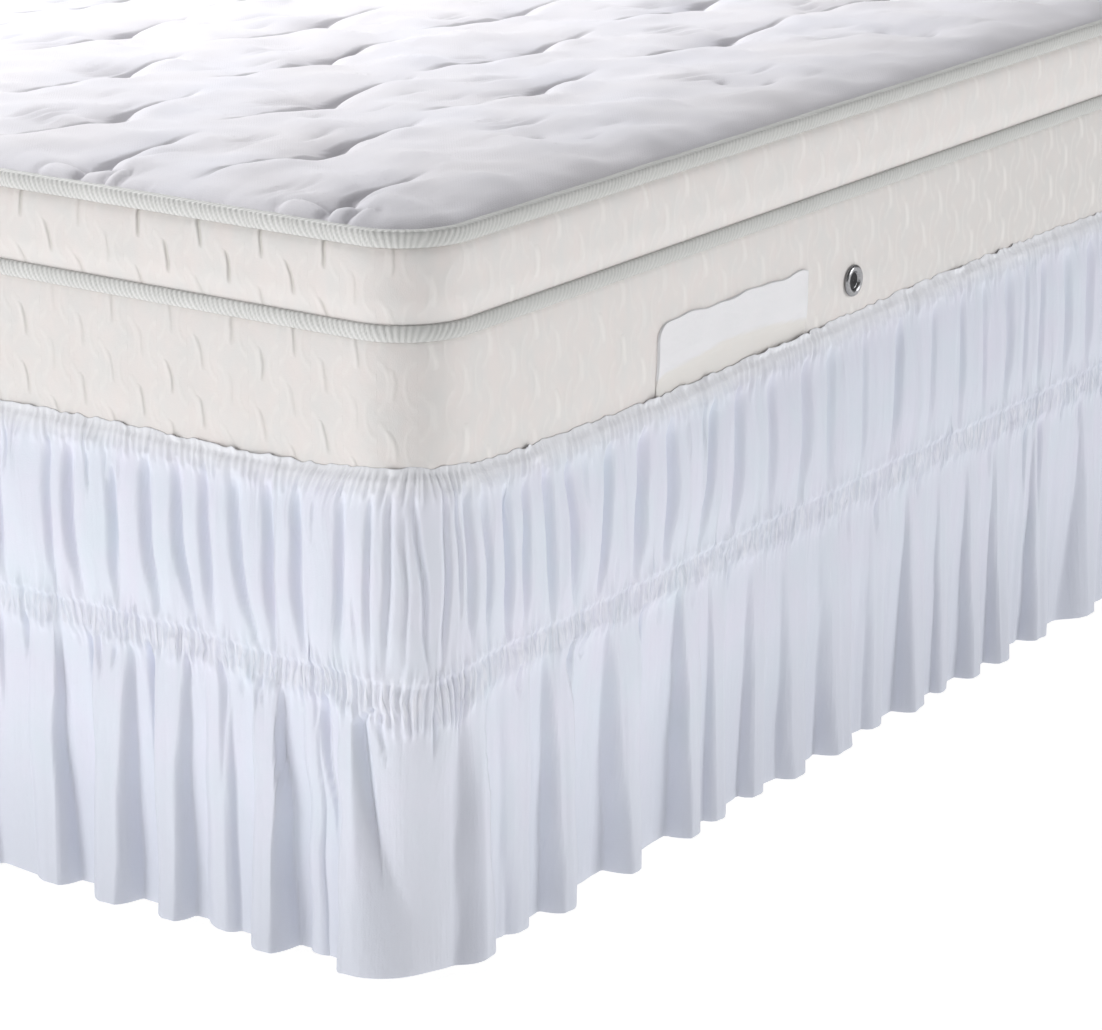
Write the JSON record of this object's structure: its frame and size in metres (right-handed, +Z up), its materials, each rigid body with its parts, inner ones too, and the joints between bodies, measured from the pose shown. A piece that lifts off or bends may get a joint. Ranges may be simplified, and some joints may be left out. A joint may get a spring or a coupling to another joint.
{
  "type": "bed skirt on a mattress and bed base",
  "caption": "Gathered ring of cloth with a shirred heading and middle band, hanging round the sides of a tufted mattress on a plain bed base.",
  "frame": {"origin": "on the floor under the middle of the bed", "axes": "+Z up, X across the bed, Y along it with the foot end at -Y; the long side with the bare patch is at +X"},
  "size_m": [1.0403, 1.9551, 0.6105],
  "materials": {
    "skirt_cloth": "plain cool white woven cloth, gathered, matt with a soft sheen",
    "mattress_border": "cream quilted damask border cloth with a low raised leaf-like repeat",
    "mattress_panel": "soft lilac-white knitted panel, padded and tufted",
    "edge_tape": "greyish white woven tape, overcast with slanting stitches",
    "patch_cloth": "bare white sewn patch",
    "chrome": "bright pressed metal",
    "base_cloth": "plain grey bed base cloth, hidden behind the skirt",
    "foot_wood": "dark stained wood, hidden behind the skirt"
  },
  "bodies": {
    "root": {"bed_skirt": "skirt_cloth", "mattress_body": "mattress_border", "pillow_top": "mattress_border", "top_panel": "mattress_panel", "tape_middle": "edge_tape", "tape_top": "edge_tape", "vent_1": "chrome", "vent_2": "chrome", "vent_3": "chrome", "vent_4": "chrome", "label_patch": "patch_cloth", "bed_base": "base_cloth", "foot_1": "foot_wood", "foot_2": "foot_wood", "foot_3": "foot_wood", "foot_4": "foot_wood", "foot_5": "foot_wood", "foot_6": "foot_wood"}
  },
  "joints": []
}
